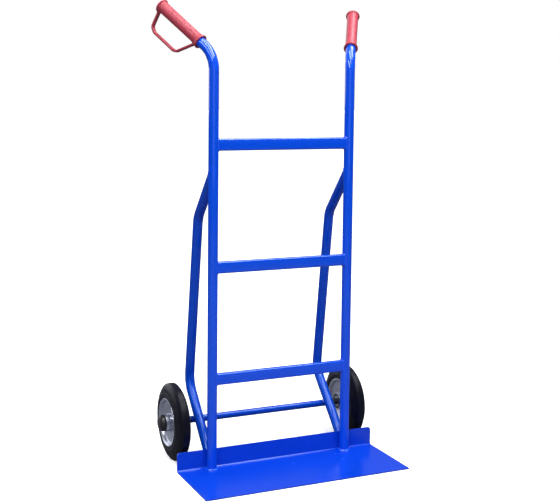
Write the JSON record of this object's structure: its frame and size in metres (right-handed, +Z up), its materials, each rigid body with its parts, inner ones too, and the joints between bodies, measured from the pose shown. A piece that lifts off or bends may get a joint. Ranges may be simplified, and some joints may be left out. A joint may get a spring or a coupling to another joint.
{
  "type": "hand truck",
  "caption": "Upright two-wheeled hand truck: tubular frame with flat rungs, bowed side braces, folded steel toe plate, bent handles with guarded grips, and solid tyres on pressed rims.",
  "frame": {"origin": "middle of the truck's width on the underside of the toe plate, directly below the uprights", "axes": "+X to the user's left as they stand behind the handles, which is the viewer's right seen from the load side; +Y from the toe plate back to the wheels and handles; +Z up along the uprights"},
  "size_m": [0.5814, 0.4038, 1.1618],
  "materials": {
    "blue_paint": "gloss powder coat",
    "red_plastic": "soft satin moulded vinyl",
    "tyre_rubber": "matt solid rubber",
    "zinc_steel": "bright zinc plate",
    "bearing_steel": "ground and polished",
    "black_plastic": "moulded satin"
  },
  "bodies": {
    "frame": {"left_upright": "blue_paint", "right_upright": "blue_paint", "top_rung": "blue_paint", "middle_rung": "blue_paint", "lower_rung": "blue_paint", "left_brace": "blue_paint", "right_brace": "blue_paint", "toe_plate": "blue_paint", "axle": "blue_paint", "left_grip": "red_plastic", "right_grip": "red_plastic", "left_outer_bearing_inner_ring": "bearing_steel", "left_inner_bearing_inner_ring": "bearing_steel", "left_bearing_spacer": "zinc_steel", "left_outer_washer": "zinc_steel", "left_inner_washer": "zinc_steel", "left_split_pin": "zinc_steel", "right_outer_bearing_inner_ring": "bearing_steel", "right_inner_bearing_inner_ring": "bearing_steel", "right_bearing_spacer": "zinc_steel", "right_outer_washer": "zinc_steel", "right_inner_washer": "zinc_steel", "right_split_pin": "zinc_steel"},
    "left_wheel": {"left_tyre": "tyre_rubber", "left_outer_rim_disc": "zinc_steel", "left_inner_rim_disc": "zinc_steel", "left_hub_tube": "zinc_steel", "left_outer_bearing_outer_ring": "bearing_steel", "left_inner_bearing_outer_ring": "bearing_steel", "left_dust_seal": "black_plastic", "left_hub_cap": "black_plastic"},
    "right_wheel": {"right_tyre": "tyre_rubber", "right_outer_rim_disc": "zinc_steel", "right_inner_rim_disc": "zinc_steel", "right_hub_tube": "zinc_steel", "right_outer_bearing_outer_ring": "bearing_steel", "right_inner_bearing_outer_ring": "bearing_steel", "right_dust_seal": "black_plastic", "right_hub_cap": "black_plastic"},
    "left_outer_cage": {"left_outer_ball_cage": "bearing_steel"},
    "left_inner_cage": {"left_inner_ball_cage": "bearing_steel"},
    "right_outer_cage": {"right_outer_ball_cage": "bearing_steel"},
    "right_inner_cage": {"right_inner_ball_cage": "bearing_steel"}
  },
  "joints": [
    {"name": "left_wheel_spin", "type": "hinge", "parent": "frame", "child": "left_wheel", "pos_m": [-0.249, 0.11379, 0.1003], "axis": [1, 0, 0], "continuous": true},
    {"name": "right_wheel_spin", "type": "hinge", "parent": "frame", "child": "right_wheel", "pos_m": [0.249, 0.11379, 0.1003], "axis": [1, 0, 0], "continuous": true},
    {"name": "left_outer_cage_spin", "type": "hinge", "parent": "frame", "child": "left_outer_cage", "pos_m": [-0.266, 0.11379, 0.1003], "axis": [1, 0, 0], "continuous": true},
    {"name": "left_inner_cage_spin", "type": "hinge", "parent": "frame", "child": "left_inner_cage", "pos_m": [-0.232, 0.11379, 0.1003], "axis": [1, 0, 0], "continuous": true},
    {"name": "right_outer_cage_spin", "type": "hinge", "parent": "frame", "child": "right_outer_cage", "pos_m": [0.266, 0.11379, 0.1003], "axis": [1, 0, 0], "continuous": true},
    {"name": "right_inner_cage_spin", "type": "hinge", "parent": "frame", "child": "right_inner_cage", "pos_m": [0.232, 0.11379, 0.1003], "axis": [1, 0, 0], "continuous": true}
  ],
  "couplings": [
    {"joint": "left_outer_cage_spin", "follows": "left_wheel_spin", "ratio": 0.6092},
    {"joint": "left_inner_cage_spin", "follows": "left_wheel_spin", "ratio": 0.6092},
    {"joint": "right_outer_cage_spin", "follows": "right_wheel_spin", "ratio": 0.6092},
    {"joint": "right_inner_cage_spin", "follows": "right_wheel_spin", "ratio": 0.6092}
  ]
}
